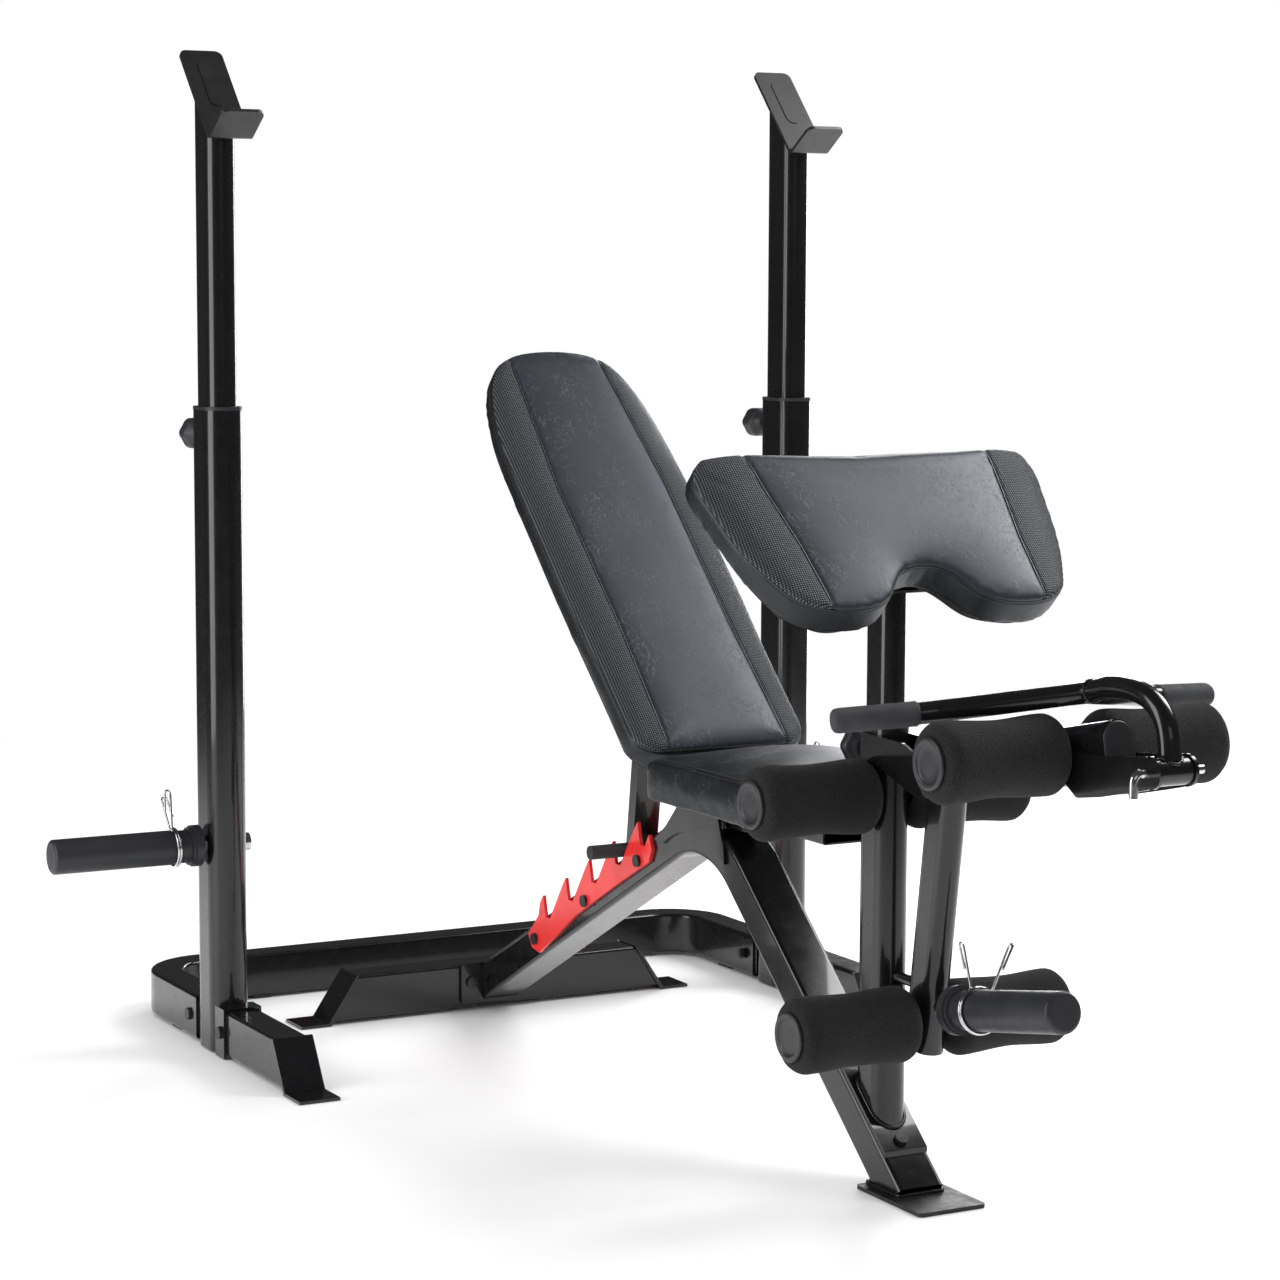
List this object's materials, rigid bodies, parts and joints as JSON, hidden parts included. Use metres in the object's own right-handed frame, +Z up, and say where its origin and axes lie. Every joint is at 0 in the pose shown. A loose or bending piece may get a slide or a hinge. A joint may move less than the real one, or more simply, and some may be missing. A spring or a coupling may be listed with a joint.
{
  "type": "olympic weight bench",
  "caption": "Two-post bar rack with telescoping V hooks and plate posts, with a free-standing adjustable bench carrying a leg developer, arm-curl pad and curl bar.",
  "frame": {"origin": "floor level under the middle of the whole object, in plan the centre of its bounding box", "axes": "+X to the right seen from the leg-developer end, -Y towards the leg developer, +Y towards the bar rack, +Z up"},
  "size_m": [1.46, 1.95, 1.4397],
  "materials": {
    "gloss_black": "gloss powder coat",
    "hook_black": "satin textured paint",
    "ladder_red": "semi-gloss powder coat",
    "black_bolt": "black oxide",
    "bright_steel": "zinc plated, bright",
    "sleeve_plastic": "moulded, satin",
    "foot_rubber": "matte rubber",
    "roller_foam": "matte fine-pored foam",
    "pad_vinyl": "creased grained vinyl with perforated side strips",
    "pad_board": "black stained plywood"
  },
  "bodies": {
    "rack": {"rear_base": "gloss_black", "base_pads": "foot_rubber", "left_front_foot": "gloss_black", "right_front_foot": "gloss_black", "left_upright": "gloss_black", "right_upright": "gloss_black", "upright_bushings": "sleeve_plastic", "rack_bolts": "black_bolt", "plate_rods": "bright_steel", "left_plate_sleeve": "sleeve_plastic", "right_plate_sleeve": "sleeve_plastic"},
    "left_riser_post": {"left_riser": "gloss_black", "left_bar_hook": "hook_black"},
    "right_riser_post": {"right_riser": "gloss_black", "right_bar_hook": "hook_black"},
    "left_knob": {"left_rack_knob": "sleeve_plastic"},
    "right_knob": {"right_rack_knob": "sleeve_plastic"},
    "left_clip": {"left_spring_clip": "bright_steel"},
    "right_clip": {"right_spring_clip": "bright_steel"},
    "bench": {"rear_stabilizer": "gloss_black", "main_frame": "gloss_black", "front_foot_plate": "gloss_black", "frame_gussets": "gloss_black", "ladder_plates": "ladder_red", "bench_bolts": "black_bolt", "seat_bracket": "gloss_black", "seat_pad": "pad_vinyl", "pivot_bolts": "black_bolt", "leg_post": "gloss_black", "post_bushing": "sleeve_plastic", "head_bracket": "gloss_black", "knee_axle_tube": "gloss_black", "knee_axle_caps": "sleeve_plastic"},
    "backrest": {"backrest_pad": "pad_vinyl", "backrest_board": "pad_board", "backrest_frame": "gloss_black"},
    "prop": {"prop_tube": "gloss_black", "prop_crossbar": "foot_rubber"},
    "arm_curl_support": {"preacher_pad": "pad_vinyl", "preacher_board": "pad_board", "preacher_post": "gloss_black"},
    "post_pull_knob": {"post_knob": "sleeve_plastic"},
    "leg_developer": {"leg_developer_arm": "gloss_black", "curl_yoke": "gloss_black", "thigh_axle_tube": "gloss_black", "thigh_axle_caps": "sleeve_plastic", "ankle_axle_tube": "gloss_black", "ankle_axle_caps": "sleeve_plastic", "leg_plate_rod": "bright_steel", "leg_plate_sleeve": "sleeve_plastic"},
    "curl_handle": {"curl_bar": "gloss_black", "curl_grips": "foot_rubber"},
    "curl_lock_pin": {"curl_pin": "bright_steel"},
    "front_clip": {"front_spring_clip": "bright_steel"},
    "left_knee_roller": {"left_knee_foam": "roller_foam"},
    "right_knee_roller": {"right_knee_foam": "roller_foam"},
    "left_thigh_roller": {"left_thigh_foam": "roller_foam"},
    "right_thigh_roller": {"right_thigh_foam": "roller_foam"},
    "left_ankle_roller": {"left_ankle_foam": "roller_foam"},
    "right_ankle_roller": {"right_ankle_foam": "roller_foam"}
  },
  "joints": [
    {"name": "left_hook_height", "type": "slide", "parent": "rack", "child": "left_riser_post", "axis": [0, 0, 1], "range_m": [-0.25, 0.1]},
    {"name": "right_hook_height", "type": "slide", "parent": "rack", "child": "right_riser_post", "axis": [0, 0, 1], "range_m": [-0.25, 0.1]},
    {"name": "left_knob_pull", "type": "slide", "parent": "rack", "child": "left_knob", "axis": [0, 1, 0], "range_m": [0, 0.012], "stiffness_N_per_m": 900, "springref_m": -0.004},
    {"name": "right_knob_pull", "type": "slide", "parent": "rack", "child": "right_knob", "axis": [0, 1, 0], "range_m": [0, 0.012], "stiffness_N_per_m": 900, "springref_m": -0.004},
    {"name": "left_clip_slide", "type": "slide", "parent": "rack", "child": "left_clip", "axis": [-1, 0, 0], "range_m": [-0.012, 0.17]},
    {"name": "right_clip_slide", "type": "slide", "parent": "rack", "child": "right_clip", "axis": [1, 0, 0], "range_m": [-0.012, 0.17]},
    {"name": "bench_position", "type": "slide", "parent": "rack", "child": "bench", "axis": [0, 1, 0], "range_m": [-0.4, 0.1]},
    {"name": "backrest_tilt", "type": "hinge", "parent": "bench", "child": "backrest", "pos_m": [0, 0.013, 0.452], "axis": [1, 0, 0], "range_deg": [0, 30]},
    {"name": "prop_fold", "type": "hinge", "parent": "backrest", "child": "prop", "pos_m": [0, 0.207, 0.568], "axis": [1, 0, 0], "range_deg": [-17, 0]},
    {"name": "arm_curl_height", "type": "slide", "parent": "bench", "child": "arm_curl_support", "axis": [0, 0, 1], "range_m": [-0.04, 0.1]},
    {"name": "post_knob_pull", "type": "slide", "parent": "bench", "child": "post_pull_knob", "axis": [0, 1, 0], "range_m": [0, 0.012], "stiffness_N_per_m": 900, "springref_m": -0.004},
    {"name": "leg_swing", "type": "hinge", "parent": "bench", "child": "leg_developer", "pos_m": [0, -0.532, 0.515], "axis": [-1, 0, 0], "range_deg": [0, 45]},
    {"name": "curl_swing", "type": "hinge", "parent": "leg_developer", "child": "curl_handle", "pos_m": [0, -0.958, 0.592], "axis": [1, 0, 0], "range_deg": [0, 110]},
    {"name": "curl_pin_pull", "type": "slide", "parent": "leg_developer", "child": "curl_lock_pin", "axis": [-1, 0, 0], "range_m": [0, 0.1]},
    {"name": "front_clip_slide", "type": "slide", "parent": "leg_developer", "child": "front_clip", "axis": [0, -0.9829, 0.184], "range_m": [-0.012, 0.17]},
    {"name": "left_knee_roller_spin", "type": "hinge", "parent": "bench", "child": "left_knee_roller", "pos_m": [0, -0.397, 0.489], "axis": [1, 0, 0], "continuous": true},
    {"name": "left_thigh_roller_spin", "type": "hinge", "parent": "leg_developer", "child": "left_thigh_roller", "pos_m": [0, -0.783, 0.59], "axis": [1, 0, 0], "continuous": true},
    {"name": "left_ankle_roller_spin", "type": "hinge", "parent": "leg_developer", "child": "left_ankle_roller", "pos_m": [0, -0.491, 0.22327], "axis": [1, 0, 0], "continuous": true},
    {"name": "right_knee_roller_spin", "type": "hinge", "parent": "bench", "child": "right_knee_roller", "pos_m": [0, -0.397, 0.489], "axis": [1, 0, 0], "continuous": true},
    {"name": "right_thigh_roller_spin", "type": "hinge", "parent": "leg_developer", "child": "right_thigh_roller", "pos_m": [0, -0.783, 0.59], "axis": [1, 0, 0], "continuous": true},
    {"name": "right_ankle_roller_spin", "type": "hinge", "parent": "leg_developer", "child": "right_ankle_roller", "pos_m": [0, -0.491, 0.22327], "axis": [1, 0, 0], "continuous": true}
  ],
  "couplings": [
    {"joint": "prop_fold", "follows": "backrest_tilt", "ratio": -0.54}
  ]
}
